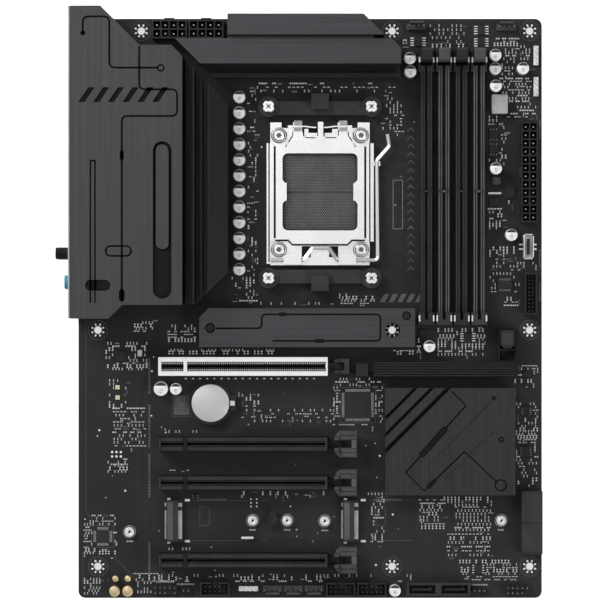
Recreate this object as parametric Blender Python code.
"""ATX mainboard: lever-locked processor socket, four memory slots, four expansion slots, rear port panel.

The board lies flat, component side up. Lengths are millimetres until a mesh is made. A place on the board
is (u, v, z): u runs from the rear edge, where the ports are, towards the front edge, v runs from the top
edge, beside the processor power sockets, towards the bottom edge, and z runs up from the component side.
"""

import math

import bmesh
import bpy
from mathutils import Vector

MM = 0.001
GAP = 0.3  # between two solids that touch on the real board

# The bare board: an ATX outline with its nine mounting holes.
BOARD_U, BOARD_V, BOARD_T = 243.84, 304.8, 1.6
CORNER_R = 3.5
MOUNT_HOLE_R = 1.98
LAND_R, LAND_Z = 3.9, 0.05  # the plated ring round a mounting hole, on both sides
MOUNT_U = (10.16, 165.1, 237.49)
MOUNT_V = (6.35, 163.83, 288.29)
MOUNT_TOP_REAR_U = 33.02  # the top row's first hole stands further in, beside the port area
MOUNT_HOLES = [(MOUNT_TOP_REAR_U, MOUNT_V[0])] + [
    (u, v) for v in MOUNT_V for u in MOUNT_U if (u, v) != (MOUNT_U[0], MOUNT_V[0])
]

# How far the object reaches past the bare board.
REST_DEPTH = 2.4  # backplate and screw heads, below the solder side
ANTENNA_REACH = 10.2  # antenna jacks, behind the rear edge
AUDIO_REACH = 5.2  # audio jacks, behind the rear edge
SHIELD_OVERLAP_V = 3.7  # port shield and cover, past the top edge
UNDERSIDE = -BOARD_T
LOWEST = UNDERSIDE - REST_DEPTH

# Rear port area.
SHIELD_U = (-3.0, -2.2)
SHIELD_V = (-SHIELD_OVERLAP_V, 157.6)
SHIELD_Z = (-1.5, 39.6)
PORT_FRONT_U = -3.4
COVER_Z = (33.2, 40.0)
COVER_REAR_U = -1.9
COVER_FOOT_Z = 0.6

# Voltage regulator heatsinks.
SINK_FOOT_Z = 4.6
LEG_R = 2.5
LEG_HOLE_R = LEG_R + GAP
LEFT_SINK_LEGS = [(36.0, 30.0), (36.0, 138.0)]
TOP_SINK_LEGS = [(75.0, 20.0), (158.0, 20.0)]
CHIPSET_LEGS = [(168.0, 243.0), (222.0, 201.0)]
MITRE_LEFT, MITRE_TOP = 33.7, 39.4  # u - v along each heatsink's mitred end

# Processor socket, measured from its centre: x towards the front edge, y towards the top edge.
SOCKET_U, SOCKET_V = 127.1, 91.5
SOCKET_SCREW_X, SOCKET_SCREW_Y = 21.55, 30.0
COOLER_X, COOLER_Y = 27.0, 45.0
LEVER_Y, LEVER_Z, LEVER_R = -35.6, 4.4, 1.0
PLATE_HINGE_Y, PLATE_HINGE_Z, PLATE_PIN_R = 34.7, 4.4, 0.8
PLATE_Z = (4.9, 6.1)

# Memory slots.
DIMM_U, DIMM_PITCH = 182.8, 9.2
DIMM_V = (24.0, 161.0)
DIMM_LATCH_PIVOT = (20.3, 4.0)  # v and z
DIMM_TOP = 9.0

# Expansion slots.
PCIE_V = [182.8, 223.44, 243.76, 284.4]
PCIE_U = (42.4, 131.1)
PCIE_TOP = 11.2
PCIE_LATCH_PIVOT = (137.4, 4.6)  # u and z
PCIE_NECK_U = 139.3
PCIE_CHEEK = (1.95, 3.9)  # the latch's cheeks, either side of the slot's centre line
RELEASE_TAIL_Z = 1.0  # the first latch's cheeks reach down to the remote release

# Lift-off drive heatsink and coin cell.
BATTERY_U, BATTERY_V, BATTERY_R = 69.6, 202.2, 10.0

FINISHES = {
    "solder_mask": ((0.028, 0.029, 0.031), 0.55, 0.0),
    "brushed_black": ((0.080, 0.082, 0.086), 0.42, 1.0),
    "black_plastic": ((0.018, 0.018, 0.020), 0.50, 0.0),
    "grey_plastic": ((0.095, 0.097, 0.103), 0.50, 0.0),
    "socket_steel": ((0.80, 0.80, 0.81), 0.24, 1.0),
    "port_steel": ((0.62, 0.62, 0.63), 0.32, 1.0),
    "slot_armour": ((0.86, 0.86, 0.87), 0.30, 1.0),
    "cell_steel": ((0.72, 0.72, 0.74), 0.36, 1.0),
    "brass": ((0.75, 0.56, 0.24), 0.30, 1.0),
}


def clear_scene():
    for obj in list(bpy.data.objects):
        bpy.data.objects.remove(obj, do_unlink=True)


def finish_material(name):
    found = bpy.data.materials.get(name)
    if found:
        return found
    colour, roughness, metallic = FINISHES[name]
    material = bpy.data.materials.new(name)
    material.use_nodes = True
    shader = material.node_tree.nodes["Principled BSDF"]
    shader.inputs["Base Color"].default_value = (*colour, 1.0)
    shader.inputs["Roughness"].default_value = roughness
    shader.inputs["Metallic"].default_value = metallic
    return material


def place(u, v, z):
    """A board place as a point in metres, under the board frame."""
    return Vector((u, -v, z)) * MM


def prism(outline, low, high, axis="z"):
    """A closed solid: an outline of pairs, swept from low to high along one axis.

    The pairs are (u, v) for axis z, (v, z) for axis u, and (u, z) for axis v.
    """
    order = {
        "z": lambda a, b, level: (a, b, level),
        "u": lambda a, b, level: (level, a, b),
        "v": lambda a, b, level: (a, level, b),
    }[axis]
    shape = bmesh.new()
    foot = shape.faces.new([shape.verts.new(place(*order(a, b, low))) for a, b in outline])
    swept = bmesh.ops.extrude_face_region(shape, geom=[foot])["geom"]
    travel = place(*order(0, 0, high)) - place(*order(0, 0, low))
    top = [item for item in swept if isinstance(item, bmesh.types.BMVert)]
    bmesh.ops.translate(shape, verts=top, vec=travel)
    bmesh.ops.recalc_face_normals(shape, faces=shape.faces)
    return shape


def box(u, v, z):
    """A box from three (low, high) pairs."""
    return prism([(u[0], v[0]), (u[1], v[0]), (u[1], v[1]), (u[0], v[1])], *z)


def circle(a, b, radius, sides):
    turns = (math.tau * (k + 0.5) / sides for k in range(sides))
    return [(a + radius * math.cos(t), b + radius * math.sin(t)) for t in turns]


def rod(a, b, radius, span, axis="z", sides=16):
    """A round bar about one axis, through the pair (a, b) as prism reads it."""
    return prism(circle(a, b, radius, sides), *span, axis=axis)


def rounded(u, v, radius, steps=4):
    """A rectangle's outline with round corners."""
    corners = [
        (u[1] - radius, v[1] - radius),
        (u[0] + radius, v[1] - radius),
        (u[0] + radius, v[0] + radius),
        (u[1] - radius, v[0] + radius),
    ]
    outline = []
    for quarter, (cu, cv) in enumerate(corners):
        for step in range(steps + 1):
            turn = (quarter + step / steps) * math.pi / 2
            outline.append((cu + radius * math.cos(turn), cv + radius * math.sin(turn)))
    return outline


def joined(shapes):
    """Several solids in one mesh, still separate."""
    whole = bmesh.new()
    for shape in shapes:
        mesh = bpy.data.meshes.new("shape")
        shape.to_mesh(mesh)
        shape.free()
        whole.from_mesh(mesh)
        bpy.data.meshes.remove(mesh)
    return whole


def sliced(shape, point, normal):
    """Cuts a solid by a vertical plane and keeps the side that the normal points away from."""
    bmesh.ops.bisect_plane(
        shape,
        geom=[*shape.verts, *shape.edges, *shape.faces],
        plane_co=place(*point),
        plane_no=Vector((normal[0], -normal[1], 0)),
        clear_outer=True,
    )
    rim = [edge for edge in shape.edges if edge.is_boundary]
    bmesh.ops.edgeloop_fill(shape, edges=rim)
    bmesh.ops.recalc_face_normals(shape, faces=shape.faces)
    return shape


def mesh_object(name, shape, finish, pivot):
    bmesh.ops.translate(shape, verts=shape.verts, vec=-place(*pivot))
    mesh = bpy.data.meshes.new(name)
    shape.to_mesh(mesh)
    shape.free()
    mesh.materials.append(finish_material(finish))
    return linked(bpy.data.objects.new(name, mesh), pivot)


def linked(obj, pivot):
    bpy.context.scene.collection.objects.link(obj)
    obj.parent = bpy.data.objects["board_frame"]
    obj.location = place(*pivot)
    return obj


def node(name, shape, finish, add=(), cut=(), pivot=(0, 0, 0)):
    """One sub-part. The solids in add are fused to the shape, then those in cut are taken away."""
    obj = mesh_object(name, shape, finish, pivot)
    for operation, shapes in (("UNION", add), ("DIFFERENCE", cut)):
        if not shapes:
            continue
        tool = mesh_object(f"{name}_{operation.lower()}", joined(shapes), finish, pivot)
        tool.hide_render = True
        tool.display_type = "WIRE"
        modifier = obj.modifiers.new(operation.title(), "BOOLEAN")
        modifier.operation = operation
        modifier.solver = "EXACT"
        modifier.use_self = True
        modifier.object = tool
    return obj


def board_frame():
    """Puts the bottom centre of the whole object's box at the origin."""
    frame = bpy.data.objects.new("board_frame", None)
    bpy.context.scene.collection.objects.link(frame)
    centre_u = (BOARD_U - ANTENNA_REACH) / 2
    centre_v = (BOARD_V - SHIELD_OVERLAP_V) / 2
    frame.location = -place(centre_u, centre_v, LOWEST)


def socket_place(x, y):
    """A place on the board from the processor socket's own centre."""
    return SOCKET_U + x, SOCKET_V - y


def socket_box(x, y, z):
    return box((SOCKET_U + x[0], SOCKET_U + x[1]), (SOCKET_V - y[1], SOCKET_V - y[0]), z)


def corner_signs():
    return [(sx, sy) for sy in (1, -1) for sx in (-1, 1)]


def pcb():
    through = (UNDERSIDE - 1, 1)
    holes = [rod(u, v, MOUNT_HOLE_R, through, sides=24) for u, v in MOUNT_HOLES]
    for sx, sy in corner_signs():
        holes.append(rod(*socket_place(sx * COOLER_X, sy * COOLER_Y), 3.4, through))
        holes.append(rod(*socket_place(sx * SOCKET_SCREW_X, sy * SOCKET_SCREW_Y), 2.1, through))
    holes += [
        rod(u, v, LEG_HOLE_R, through)
        for u, v in LEFT_SINK_LEGS + TOP_SINK_LEGS + CHIPSET_LEGS
    ]
    lands = [rod(u, v, LAND_R, (UNDERSIDE - LAND_Z, LAND_Z), sides=24) for u, v in MOUNT_HOLES]
    outline = rounded((0, BOARD_U), (0, BOARD_V), CORNER_R)
    node("pcb", prism(outline, UNDERSIDE, 0), "solder_mask", add=lands, cut=holes)


# Rear ports: each is (name, (v low, v high), (z low, z high), depth, cavities), and a cavity is
# (v low, v high, z low, z high, depth), open to the rear.
USB_CAVITY = (13.2, 5.4, 9.5)  # width, height and depth of one USB type A mouth
USB_A_WIDTH = 14.8
USB_C_MOUTH = (8.6, 2.9, 6.5)


def stacked_mouths(v_centre, z_floors, mouth):
    width, height, depth = mouth
    return [(v_centre - width / 2, v_centre + width / 2, z, z + height, depth) for z in z_floors]


def port_table():
    usb_upper, usb_c, usb_lower, lan = 37.4, 55.0, 73.4, 95.2
    half = USB_A_WIDTH / 2
    lan_half = 8.1
    return [
        ("hdmi_port", (10.0, 25.2), (GAP, 6.5), 11.0, [(10.5, 24.7, 1.0, 5.6, 8.0)]),
        (
            "usb_stack_upper",
            (usb_upper - half, usb_upper + half),
            (GAP, 16.0),
            17.0,
            stacked_mouths(usb_upper, (1.3, 9.2), USB_CAVITY),
        ),
        (
            "usb_c_stack",
            (usb_c - 5.0, usb_c + 5.0),
            (GAP, 14.6),
            12.0,
            stacked_mouths(usb_c, (1.6, 10.2), USB_C_MOUTH),
        ),
        (
            "usb_stack_lower",
            (usb_lower - half, usb_lower + half),
            (GAP, 16.0),
            17.0,
            stacked_mouths(usb_lower, (1.3, 9.2), USB_CAVITY),
        ),
        (
            "lan_stack",
            (lan - lan_half, lan + lan_half),
            (GAP, 29.6),
            22.0,
            stacked_mouths(lan, (1.3, 9.2), USB_CAVITY) + [(lan - 6.0, lan + 6.0, 17.6, 26.6, 12.0)],
        ),
    ]


AUDIO_V, AUDIO_Z, AUDIO_R = 138.8, (6.2, 17.6, 29.0), 3.6
AUDIO_BLOCK_V, AUDIO_BLOCK_Z = (132.9, 144.7), (GAP, 32.8)
ANTENNA_V, ANTENNA_Z, ANTENNA_R = 123.8, (11.0, 26.0), 3.1
ANTENNA_BLOCK_V, ANTENNA_BLOCK_Z = (118.6, 129.0), (GAP, 32.0)
BIOS_V, BIOS_Z, BIOS_HALF = 4.8, 14.0, 2.3
WINDOW_GAP = 0.35


def shield_window(v, z):
    low_z = min(z[0], 0) - WINDOW_GAP if z[0] <= GAP else z[0] - WINDOW_GAP
    return box((-4, 0), (v[0] - WINDOW_GAP, v[1] + WINDOW_GAP), (low_z, z[1] + WINDOW_GAP))


def io_shield():
    windows = [shield_window(v, z) for _, v, z, _, _ in port_table()]
    windows += [rod(AUDIO_V, z, AUDIO_R + WINDOW_GAP, (-4, 2), axis="u") for z in AUDIO_Z]
    windows += [rod(ANTENNA_V, z, ANTENNA_R + WINDOW_GAP, (-4, 2), axis="u") for z in ANTENNA_Z]
    button = BIOS_HALF
    windows.append(shield_window((BIOS_V - button, BIOS_V + button), (BIOS_Z - button, BIOS_Z + button)))
    plate = box(SHIELD_U, SHIELD_V, SHIELD_Z)
    node("io_shield", plate, "port_steel", cut=windows)


def rear_ports():
    for name, v, z, depth, cavities in port_table():
        mouths = [
            box((PORT_FRONT_U - 1, PORT_FRONT_U + deep), (v0, v1), (z0, z1))
            for v0, v1, z0, z1, deep in cavities
        ]
        node(name, box((PORT_FRONT_U, depth), v, z), "port_steel", cut=mouths)


def audio_stack():
    jack_bore = 1.8
    barrels = [rod(AUDIO_V, z, AUDIO_R, (-AUDIO_REACH, 1.0), axis="u") for z in AUDIO_Z]
    bores = [rod(AUDIO_V, z, jack_bore, (-AUDIO_REACH - 1, 11), axis="u", sides=12) for z in AUDIO_Z]
    block = box((-1.6, 13.0), AUDIO_BLOCK_V, AUDIO_BLOCK_Z)
    node("audio_stack", block, "black_plastic", add=barrels, cut=bores)


def antenna_jacks():
    barrels = [rod(ANTENNA_V, z, ANTENNA_R, (-ANTENNA_REACH, 1.0), axis="u") for z in ANTENNA_Z]
    block = box((-1.6, 9.0), ANTENNA_BLOCK_V, ANTENNA_BLOCK_Z)
    node("antenna_jacks", block, "brass", add=barrels)


def bios_button():
    half = BIOS_HALF
    pivot = (PORT_FRONT_U, BIOS_V, BIOS_Z)
    key = box((-3.9, 3.4), (BIOS_V - half, BIOS_V + half), (BIOS_Z - half, BIOS_Z + half))
    node("bios_button", key, "black_plastic", pivot=pivot)


def io_cover():
    """A plate over the ports, with walls below its rim at the top and bottom ends."""
    rear, end_v = COVER_REAR_U, SHIELD_V[1]
    outline = [
        (rear, -SHIELD_OVERLAP_V),
        (13.7, -SHIELD_OVERLAP_V),
        (33.9, 16.5),
        (50.2, 16.5),
        (55.9, 22.2),
        (55.9, 150.5),
        (24.9, 150.5),
        (17.8, end_v),
        (rear, end_v),
    ]
    wall = 1.6
    reach = wall * math.sqrt(2)
    top_wall = [
        (rear, -SHIELD_OVERLAP_V),
        (13.7, -SHIELD_OVERLAP_V),
        (31.0, 13.6),
        (31.0 - reach, 13.6),
        (13.7 - reach / 2, wall - SHIELD_OVERLAP_V),
        (rear, wall - SHIELD_OVERLAP_V),
    ]
    bottom_wall = [
        (rear, end_v),
        (17.8, end_v),
        (24.9, 150.5),
        (24.9 - reach, 150.5),
        (17.8 - reach / 2, end_v - wall),
        (rear, end_v - wall),
    ]
    walls = [prism(shape, COVER_FOOT_Z, COVER_Z[0] + 1) for shape in (top_wall, bottom_wall)]
    node("io_cover", prism(outline, *COVER_Z), "brushed_black", add=walls)


def heatsink_legs(legs):
    """Posts with the fixing screws that clamp the heatsink from the solder side."""
    return [rod(u, v, LEG_R, (LOWEST, SINK_FOOT_Z + 1)) for u, v in legs]


def vrm_heatsink_left():
    cover_underside = COVER_Z[0] - GAP
    groove_floor = 15.0
    profile = [
        (30.0, SINK_FOOT_Z),
        (78.9, SINK_FOOT_Z),
        (78.9, 20.0),
        (69.6, 26.0),
        (68.7, 26.0),
        (68.7, groove_floor),
        (65.7, groove_floor),
        (65.7, 24.0),
        (64.9, 24.0),
        (64.9, groove_floor),
        (61.9, groove_floor),
        (61.9, 34.0),
        (61.1, 34.0),
        (61.1, groove_floor),
        (56.6, groove_floor),
        (56.6, 22.0),
        (54.0, cover_underside),
        (30.0, cover_underside),
    ]
    block = prism(profile, 17.0, 150.3, axis="v")
    block = sliced(block, (MITRE_LEFT, 0, 0), (1, -1))
    block = sliced(block, (212.8, 0, 0), (1, 1))
    node("vrm_heatsink_left", block, "brushed_black", add=heatsink_legs(LEFT_SINK_LEGS))


def vrm_heatsink_top():
    profile = [
        (12.4, SINK_FOOT_Z),
        (31.6, SINK_FOOT_Z),
        (31.6, 12.0),
        (29.3, 12.0),
        (29.3, 8.0),
        (25.4, 8.0),
        (25.4, 30.0),
        (12.4, 30.0),
    ]
    lower = prism(profile, 45.0, 169.0, axis="u")
    lower = sliced(lower, (MITRE_TOP, 0, 0), (-1, 1))
    lower = sliced(lower, (151.6, 0, 0), (1, -1))
    upper = prism([(79.1, 0), (149.5, 0), (160.3, 10.8), (79.1, 10.8)], SINK_FOOT_Z, 35.0)
    bridge = box((79.1, 155.0), (9.0, 14.0), (SINK_FOOT_Z + 0.5, 26.0))
    legs = heatsink_legs(TOP_SINK_LEGS)
    node("vrm_heatsink_top", lower, "brushed_black", add=[upper, bridge, *legs])


def chipset_heatsink():
    u, v, z = (161.2, 229.3), (194.0, 250.2), (3.0, 12.0)
    groove_floor = 10.4
    corner = (u[0], v[0])
    grooves = []
    for reach, width in ((16.4, 2.4), (25.2, 2.4), (33.2, 3.2)):
        near, far = reach - width / 2, reach + width / 2
        band = [
            (corner[0] - 1, corner[1] + near + 1),
            (corner[0] + near + 1, corner[1] - 1),
            (corner[0] + far + 1, corner[1] - 1),
            (corner[0] - 1, corner[1] + far + 1),
        ]
        grooves.append(prism(band, groove_floor, z[1] + 1))
    legs = [rod(a, b, LEG_R, (LOWEST, z[0] + 1)) for a, b in CHIPSET_LEGS]
    node("chipset_heatsink", box(u, v, z), "brushed_black", add=legs, cut=grooves)


def m2_heatsink():
    """The lift-off plate over the first drive socket, notched round a mounting hole of the board."""
    pivot = (120.3, 162.5, 4.6)
    z = (4.6, 11.0)
    outline = [(68.6, 152.3), (176.9, 152.3), (176.9, 172.7), (63.8, 172.7), (63.8, 157.1)]
    screw_wells = [rod(69.6, 162.6, 2.6, (8.5, 12)), rod(172.4, 156.2, 2.3, (8.5, 12))]
    access = rod(MOUNT_U[1], MOUNT_V[1], 3.9, (4, 12), sides=20)
    node("m2_heatsink", prism(outline, *z), "brushed_black", cut=[*screw_wells, access], pivot=pivot)


def socket_base():
    shell = socket_box((-21.9, 21.9), (-23.6, 24.6), (GAP, 3.9))
    contact_bay = socket_box((-20.2, 20.2), (-20.2, 20.8), (2.4, 5))
    node("socket_base", shell, "black_plastic", cut=[contact_bay])


def socket_frame():
    flange_z = (0.6, 3.0)
    shell = socket_box((-26.1, 26.1), (-38.2, 36.8), flange_z)
    wall_z = (0.6, 5.3)
    walls = [
        socket_box((-28.0, -24.3), (-25.8, 25.8), wall_z),
        socket_box((24.3, 28.2), (-25.8, 25.8), wall_z),
        socket_box((-28.0, -26.0), (-37.5, -25.0), wall_z),
    ]
    sleeves = [socket_box(x, (-37.9, -33.3), (0.6, 6.3)) for x in ((-19.0, -9.8), (9.9, 19.0))]
    knuckles = [socket_box(x, (32.6, 36.8), (0.6, 6.0)) for x in ((-13.8, -9.6), (9.6, 13.8))]
    inner_window = socket_box((-22.2, 22.2), (-23.9, 24.9), (0, 8))
    plate_clearance = socket_box((-18.2, 18.2), (25.0, 31.6), (2.0, 8))
    slits = [socket_box(x, (-24.0, 24.2), (0, 8)) for x in ((-24.3, -23.2), (23.2, 24.3))]
    slits += [socket_box(x, (33.9, 38.0), (0, 8)) for x in ((-20.2, -14.1), (-9.3, 9.3), (14.1, 19.8))]
    slits += [socket_box(x, (-34.0, -28.2), (0, 8)) for x in ((-9.6, -4.8), (4.8, 9.6))]
    groove_z = (1.5, 8)
    grooves = [
        socket_box((-27.1, -26.4), (-36.6, 26), groove_z),
        socket_box((25.8, 26.5), (-26, 26), groove_z),
        socket_box((-23.0, -16.4), (-25.7, -24.9), groove_z),
        socket_box((16.4, 23.0), (-25.7, -24.9), groove_z),
        socket_box((-14.2, 14.2), (-28.0, -27.2), groove_z),
    ]
    lever_line = SOCKET_V - LEVER_Y
    lever_bore = rod(lever_line, LEVER_Z, LEVER_R + GAP, (SOCKET_U - 24, SOCKET_U + 24), axis="u")
    hinge_line = SOCKET_V - PLATE_HINGE_Y
    hinge_span = (SOCKET_U - 18, SOCKET_U + 18)
    hinge_bore = rod(hinge_line, PLATE_HINGE_Z, PLATE_PIN_R + GAP, hinge_span, axis="u")
    screw_holes = [
        rod(*socket_place(sx * SOCKET_SCREW_X, sy * SOCKET_SCREW_Y), 2.0, (0, 4))
        for sx, sy in corner_signs()
    ]
    node(
        "socket_frame",
        shell,
        "socket_steel",
        add=[*walls, *sleeves, *knuckles],
        cut=[inner_window, plate_clearance, lever_bore, hinge_bore, *screw_holes, *slits, *grooves],
    )


def socket_load_plate():
    low, high = PLATE_Z
    outline = [
        (-23.2, 24.8),
        (-16.9, 27.2),
        (-16.9, 31.0),
        (16.9, 31.0),
        (16.9, 27.2),
        (23.2, 24.8),
        (23.2, -24.7),
        (16.6, -24.7),
        (14.3, -27.0),
        (-14.3, -27.0),
        (-16.6, -24.7),
        (-23.2, -24.7),
    ]
    plate = prism([socket_place(x, y) for x, y in outline], low, high)
    arms = [
        socket_box(x, (30.4, 35.3), (3.8, high - 0.1))
        for x in ((-16.6, -14.4), (-9.0, 9.0), (14.4, 16.6))
    ]
    pin_span = (SOCKET_U - 16.8, SOCKET_U + 16.8)
    pin = rod(SOCKET_V - PLATE_HINGE_Y, PLATE_HINGE_Z, PLATE_PIN_R, pin_span, axis="u", sides=12)
    lip = socket_box((-13.8, 13.8), (-27.0, -25.9), (3.4, low + 0.2))
    u_low, v_low = socket_place(-19.7, 20.5)
    u_high, v_high = socket_place(19.7, -20.0)
    window = prism(rounded((u_low, u_high), (v_low, v_high), 3.0), 0, 10)
    ears = [socket_box(x, (-4.3, 5.1), PLATE_Z) for x in ((-20.5, -17.4), (17.4, 20.5))]
    pivot = (SOCKET_U, SOCKET_V - PLATE_HINGE_Y, PLATE_HINGE_Z)
    obj = node(
        "socket_load_plate", plate, "socket_steel", add=[*arms, pin, lip], cut=[window], pivot=pivot
    )
    fuse(obj, ears, pivot)


def fuse(obj, shapes, pivot):
    """Adds solids to an object after its cuts are made."""
    finish = obj.data.materials[0].name
    tool = mesh_object(f"{obj.name}_last_union", joined(shapes), finish, pivot)
    tool.hide_render = True
    tool.display_type = "WIRE"
    modifier = obj.modifiers.new("Last union", "BOOLEAN")
    modifier.operation = "UNION"
    modifier.solver = "EXACT"
    modifier.object = tool


def eased(points, radius, steps=3):
    """A path with each inner corner turned into an arc of about that radius."""
    path = [points[0]]
    for before, corner, after in zip(points, points[1:], points[2:]):
        into, away = corner - before, after - corner
        turn = into.angle(away)
        reach = min(radius * math.tan(turn / 2), into.length * 0.45, away.length * 0.45)
        start = corner - into.normalized() * reach
        end = corner + away.normalized() * reach
        for step in range(steps + 1):
            t = step / steps
            path.append(start.lerp(corner, t).lerp(corner.lerp(end, t), t))
    path.append(points[-1])
    return path


def socket_lever():
    """A bent wire: a bar in two sleeves with a cam between them, and an arm with a finger grip."""
    bar = [
        (-25.7, LEVER_Y),
        (-8.7, LEVER_Y),
        (-4.2, LEVER_Y + 6.5),
        (4.6, LEVER_Y + 6.5),
        (9.1, LEVER_Y),
        (30.3, LEVER_Y),
        (29.8, 17.0),
        (36.4, 24.4),
        (35.4, 30.6),
    ]
    pivot = (SOCKET_U, SOCKET_V - LEVER_Y, LEVER_Z)
    centre = place(*pivot)
    points = [place(*socket_place(x, y), LEVER_Z) - centre for x, y in bar]
    curve = bpy.data.curves.new("socket_lever", "CURVE")
    curve.dimensions = "3D"
    curve.bevel_depth = LEVER_R * MM
    curve.bevel_resolution = 2
    curve.use_fill_caps = True
    curve.materials.append(finish_material("socket_steel"))
    path = eased(points, 2.2 * MM)
    spline = curve.splines.new("POLY")
    spline.points.add(len(path) - 1)
    for point, at in zip(spline.points, path):
        point.co = (*at, 1)
    linked(bpy.data.objects.new("socket_lever", curve), pivot)


def socket_backplate():
    u_low, v_low = socket_place(-32.0, 50.0)
    u_high, v_high = socket_place(32.0, -50.0)
    top = UNDERSIDE - GAP
    plate = prism(rounded((u_low, u_high), (v_low, v_high), 6.0), LOWEST, top)
    window = socket_box((-13, 13), (-15, 15), (LOWEST - 1, top + 1))
    posts = [
        rod(*socket_place(sx * COOLER_X, sy * COOLER_Y), 3.0, (LOWEST + 0.5, -0.1))
        for sx, sy in corner_signs()
    ]
    bosses = [
        rod(*socket_place(sx * SOCKET_SCREW_X, sy * SOCKET_SCREW_Y), 1.0, (LOWEST - 1, 0), sides=8)
        for sx, sy in corner_signs()
    ]
    node("socket_backplate", plate, "socket_steel", add=posts, cut=[window, *bosses])


def screws():
    """Four screws that hold the socket frame, and four that hold the cooler brackets."""
    for number, (sx, sy) in enumerate(corner_signs(), start=1):
        u, v = socket_place(sx * SOCKET_SCREW_X, sy * SOCKET_SCREW_Y)
        head = rod(u, v, 3.85, (3.3, 5.2), sides=24)
        shank = rod(u, v, 1.6, (UNDERSIDE, 4.0), sides=12)
        recess = rod(u, v, 1.5, (4.3, 6), sides=6)
        node(f"socket_screw_{number}", head, "socket_steel", add=[shank], cut=[recess])
        u, v = socket_place(sx * COOLER_X, sy * COOLER_Y)
        head = rod(u, v, 3.4, (6.3, 8.6), sides=20)
        shank = rod(u, v, 1.9, (0.2, 7.0), sides=12)
        slot = [box((u - 2.3, u + 2.3), (v - 0.5, v + 0.5), (7.6, 9))]
        slot.append(box((u - 0.5, u + 0.5), (v - 2.3, v + 2.3), (7.6, 9)))
        node(f"cooler_screw_{number}", head, "socket_steel", add=[shank], cut=slot)


def cooler_brackets():
    for name, side in (("cooler_bracket_top", 1), ("cooler_bracket_bottom", -1)):

        def span(near, far):
            """A y range measured outwards from the socket's centre."""
            return tuple(sorted((side * near, side * far)))

        bar = socket_box((-26.0, 26.0), span(40.6, 47.8), (GAP, 5.2))
        bosses = [
            rod(*socket_place(sx * COOLER_X, side * COOLER_Y), 5.4, (GAP, 6.0), sides=20)
            for sx in (-1, 1)
        ]
        hook = socket_box((-4.6, 4.6), span(43.6, 51.8), (GAP, 8.6))
        notch = socket_box((-6, 6), span(48.4, 53.0), (3.4, 6.0))
        bores = [
            rod(*socket_place(sx * COOLER_X, side * COOLER_Y), 2.3, (0, 7), sides=12)
            for sx in (-1, 1)
        ]
        node(name, bar, "black_plastic", add=[*bosses, hook], cut=[notch, *bores])


def dimm_slot(number, finish):
    u = DIMM_U + (number - 1) * DIMM_PITCH
    low, high = DIMM_V
    pivot_v, pivot_z = DIMM_LATCH_PIVOT
    key_v = 91.0
    slot_half, floor = 0.85, 3.0
    main = box((u - 3.1, u + 3.1), (low, high), (GAP, DIMM_TOP))
    latch_end = box((u - 4.1, u + 4.1), (16.4, 28.5), (GAP, 9.6))
    fixed_end = box((u - 4.1, u + 4.1), (154.5, high), (GAP, 13.0))
    pocket = box((u - 3.2, u + 3.2), (15.0, 25.2), (-1, 12))
    trench = [
        box((u - slot_half, u + slot_half), (24.0, key_v - 0.7), (floor, 15)),
        box((u - slot_half, u + slot_half), (key_v + 0.7, 158.2), (floor, 15)),
    ]
    pin_bore = rod(pivot_v, pivot_z, 1.3, (u - 5, u + 5), axis="u", sides=12)
    node(
        f"dimm_slot_{number}",
        main,
        finish,
        add=[latch_end, fixed_end],
        cut=[pocket, *trench, pin_bore],
    )
    dimm_latch(number, u, finish)


def dimm_latch(number, u, finish):
    """An ejector that stands in the slot's end and tips outwards about a pin."""
    v, z = DIMM_LATCH_PIVOT
    foot = 3.0
    sweep = [math.pi * (1 + step / 6) for step in range(7)]
    profile = [(v - foot * math.cos(turn), z + foot * math.sin(turn)) for turn in sweep]
    profile += [
        (v - 3.9, z + 5.0),
        (v - 3.9, z + 15.0),
        (v - 2.9, z + 16.0),
        (v + 2.4, z + 16.0),
        (v + 3.4, z + 14.6),
        (v + 3.0, z + 13.0),
        (v + 1.6, z + 12.0),
        (v + 1.6, z + 7.0),
        (v + 3.0, z + 5.4),
    ]
    body = prism(profile, u - 2.9, u + 2.9, axis="u")
    pin = rod(v, z, 1.0, (u - 3.9, u + 3.9), axis="u", sides=12)
    node(f"dimm_latch_{number}", body, finish, add=[pin], pivot=(u, v, z))


def pcie_slot(number, half_width, finish):
    v = PCIE_V[number - 1]
    key_u = 56.6
    slot_half, floor = 0.9, 3.0
    main = box(PCIE_U, (v - half_width, v + half_width), (GAP, PCIE_TOP))
    neck = box((PCIE_U[1] - 1, PCIE_NECK_U), (v - 1.6, v + 1.6), (GAP, 6.2))
    trench = [
        box((44.0, key_u - 0.9), (v - slot_half, v + slot_half), (floor, 15)),
        box((key_u + 0.9, 130.0), (v - slot_half, v + slot_half), (floor, 15)),
    ]
    pivot_u, pivot_z = PCIE_LATCH_PIVOT
    pin_bore = rod(pivot_u, pivot_z, 1.1, (v - 3, v + 3), axis="v", sides=12)
    node(f"pcie_slot_{number}", main, finish, add=[neck], cut=[*trench, pin_bore])


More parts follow.
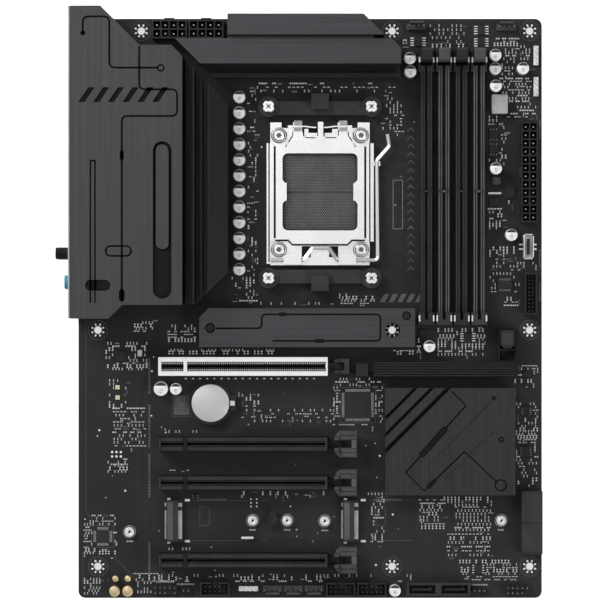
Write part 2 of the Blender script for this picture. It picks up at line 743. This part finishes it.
def pcie_latch(number, wing, reach, chamfer, foot_z):
    """A fork over the slot's neck. Its outer bar is pressed down to free a card's tail."""
    v = PCIE_V[number - 1]
    u, z = PCIE_LATCH_PIVOT
    inner, outer = u - 2.2, u + reach
    outline = [
        (inner, v - 2.0),
        (inner, v - wing + chamfer),
        (inner + chamfer, v - wing),
        (outer, v - wing),
        (outer, v + wing),
        (inner + chamfer, v + wing),
        (inner, v + wing - chamfer),
        (inner, v + 2.0),
        (outer - 2.6, v + 2.0),
        (outer - 2.6, v - 2.0),
    ]
    fork = prism(outline, z + 0.9, z + 4.4)
    near, far = PCIE_CHEEK
    cheek = [(u - 1.7, foot_z), (u + 1.7, foot_z), (u + 1.7, z + 1.5), (u - 1.7, z + 1.5)]
    cheeks = [prism(cheek, v + a, v + b, "v") for a, b in ((-far, -near), (near, far))]
    pin = rod(u, z, 0.8, (v - 3.0, v + 3.0), axis="v", sides=12)
    hook = [(inner, z + 4), (inner + 2.2, z + 4), (inner + 1.6, z + 7.4), (inner - 0.6, z + 7.4)]
    hooks = [prism(hook, v + a, v + b, "v") for a, b in ((-3.6, -2.05), (2.05, 3.6))]
    node(
        f"pcie_latch_{number}",
        fork,
        "grey_plastic",
        add=[*cheeks, pin, *hooks],
        pivot=(u, v, z),
    )


# The remote release of the first expansion slot: a key beside the memory slots drives a slide in a long
# guide, and the slide tips the slot's latch.
RELEASE_BAR_U, RELEASE_V, RELEASE_Z = (154.9, 230.1), (180.3, 188.3), (GAP, 9.0)
RELEASE_WELL_U, RELEASE_WELL_V = (220.3, 230.1), (162.4, 181.0)
RELEASE_ROD_Z = (3.0, 5.6)
RELEASE_ROD_V = (183.0, 185.6)


def slot_release():
    bar = box(RELEASE_BAR_U, RELEASE_V, RELEASE_Z)
    well = box(RELEASE_WELL_U, RELEASE_WELL_V, (GAP, 7.6))
    key_pocket = box((221.3, 229.1), (163.4, 173.6), (1.2, 12))
    recess = box((221.3, 229.1), (174.6, 179.6), (3.0, 12))
    rod_bore = box((150, 166), (182.6, 186.0), (2.6, 6.0))
    node(
        "slot_release_housing",
        bar,
        "black_plastic",
        add=[well],
        cut=[key_pocket, recess, rod_bore],
    )
    key_outline = [
        (221.6, 163.7),
        (228.8, 163.7),
        (228.8, 171.5),
        (227.0, 173.3),
        (223.4, 173.3),
        (221.6, 171.5),
    ]
    pivot = (225.2, 168.5, 4.8)
    node("slot_release_button", prism(key_outline, 4.8, 11.4), "grey_plastic", pivot=pivot)
    block = box((146.0, 152.2), (181.3, 188.0), (RELEASE_TAIL_Z, 8.4))
    driver = box((151.0, 158.0), RELEASE_ROD_V, RELEASE_ROD_Z)
    slot_v = PCIE_V[0]
    push_z = (RELEASE_TAIL_Z, 2.0)
    arm = box((142.0, 147.0), (slot_v - 1.7, slot_v + 1.9), push_z)
    near, far = PCIE_CHEEK
    crossbar = box((141.2, 142.8), (slot_v - far, slot_v + far), push_z)
    prongs = [
        box((139.4, 142.0), (slot_v + a, slot_v + b), push_z) for a, b in ((-far, -near), (near, far))
    ]
    node(
        "slot_release_slider",
        block,
        "black_plastic",
        add=[driver, arm, crossbar, *prongs],
        pivot=(149.0, 184.3, 4.3),
    )


def power_sockets():
    """Open shrouds for the main plug and the two processor plugs."""
    for name, u, v, top in (
        ("atx_power_socket", (232.3, 241.1), (54.9, 107.3), 12.8),
        ("cpu_power_socket_1", (39.1, 57.5), (1.5, 11.2), 12.8),
        ("cpu_power_socket_2", (58.4, 76.6), (1.5, 11.2), 12.8),
    ):
        wall = 1.1
        inside = box((u[0] + wall, u[1] - wall), (v[0] + wall, v[1] - wall), (2.4, top + 1))
        node(name, box(u, v, (GAP, top)), "black_plastic", cut=[inside])


def data_sockets():
    u, v, top = (234.2, 241.0), (133.8, 155.6), 9.0
    inside = box((u[0] + 0.9, u[1] - 0.9), (v[0] + 0.9, v[1] - 0.9), (1.8, top + 1))
    node("usb_front_header", box(u, v, (GAP, top)), "black_plastic", cut=[inside])

    side_v = ((249.6, 263.4), (266.2, 280.0))
    mouths = [box((236.4, 245.0), v, (1.4, 5.9)) for v in side_v]
    block = box((232.9, BOARD_U), (248.4, 281.4), (GAP, 6.9))
    node("sata_ports_side", block, "black_plastic", cut=mouths)

    bottom_u = ((173.8, 187.6), (190.8, 204.6))
    mouths = [box(u, (297.4, 301.9), (2.4, 10.0)) for u in bottom_u]
    block = box((172.5, 205.9), (296.3, 303.0), (GAP, 8.8))
    node("sata_ports_bottom", block, "black_plastic", cut=mouths)


def m2_sockets():
    """Low sockets whose card slot faces the front edge."""
    for name, u in (("m2_socket_rear", (46.4, 54.9)), ("m2_socket_front", (139.3, 147.5))):
        v = (253.3, 275.0)
        slot = box((u[1] - 4.2, u[1] + 1), (v[0] + 0.9, v[1] - 0.9), (1.7, 2.9))
        step = box((u[1] - 2.4, u[1] + 1), (v[0] - 1, v[1] + 1), (3.0, 6))
        node(name, box(u, v, (GAP, 4.4)), "grey_plastic", cut=[slot, step])


def m2_latch():
    """A swivel catch that holds a drive's free end down."""
    u, v = 102.4, 264.1
    hub = rod(u, v, 3.6, (GAP, 2.6), sides=20)
    arm = box((u - 1.7, u + 1.7), (v - 5.3, v), (1.6, 3.4))
    knob = rod(u, v, 2.4, (2.0, 3.8), sides=16)
    node("m2_latch", hub, "black_plastic", add=[arm, knob], pivot=(u, v, GAP))


def battery_cell():
    u, v = BATTERY_U, BATTERY_V
    tray = rod(u, v, 11.4, (GAP, 3.6), sides=32)
    bay = rod(u, v, BATTERY_R + GAP, (1.2, 6), sides=32)
    finger_gaps = [
        box((u - 13, u - 4), (v - 3.5, v + 3.5), (1.2, 6)),
        box((u - 3, u + 3), (v - 13, v - 5), (1.2, 6)),
    ]
    clip = box((u + 10.7, u + 13.4), (v - 4.0, v + 4.0), (GAP, 5.0))
    node("battery_holder", tray, "black_plastic", add=[clip], cut=[bay, *finger_gaps])
    can = rod(u, v, BATTERY_R, (1.5, 4.7), sides=32)
    node("battery", can, "cell_steel", pivot=(u, v, 1.5))


def main():
    clear_scene()
    board_frame()
    pcb()
    io_shield()
    rear_ports()
    audio_stack()
    antenna_jacks()
    bios_button()
    io_cover()
    vrm_heatsink_left()
    vrm_heatsink_top()
    chipset_heatsink()
    m2_heatsink()
    socket_base()
    socket_frame()
    socket_load_plate()
    socket_lever()
    socket_backplate()
    screws()
    cooler_brackets()
    for number in (1, 2, 3, 4):
        dimm_slot(number, "black_plastic" if number % 2 else "grey_plastic")
    pcie_slot(1, 4.85, "slot_armour")
    pcie_latch(1, 4.0, 5.0, 1.0, RELEASE_TAIL_Z)
    for number in (2, 3, 4):
        pcie_slot(number, 3.75, "black_plastic")
        pcie_latch(number, 7.0, 9.1, 2.2, 2.6)
    slot_release()
    power_sockets()
    data_sockets()
    m2_sockets()
    m2_latch()
    battery_cell()


main()
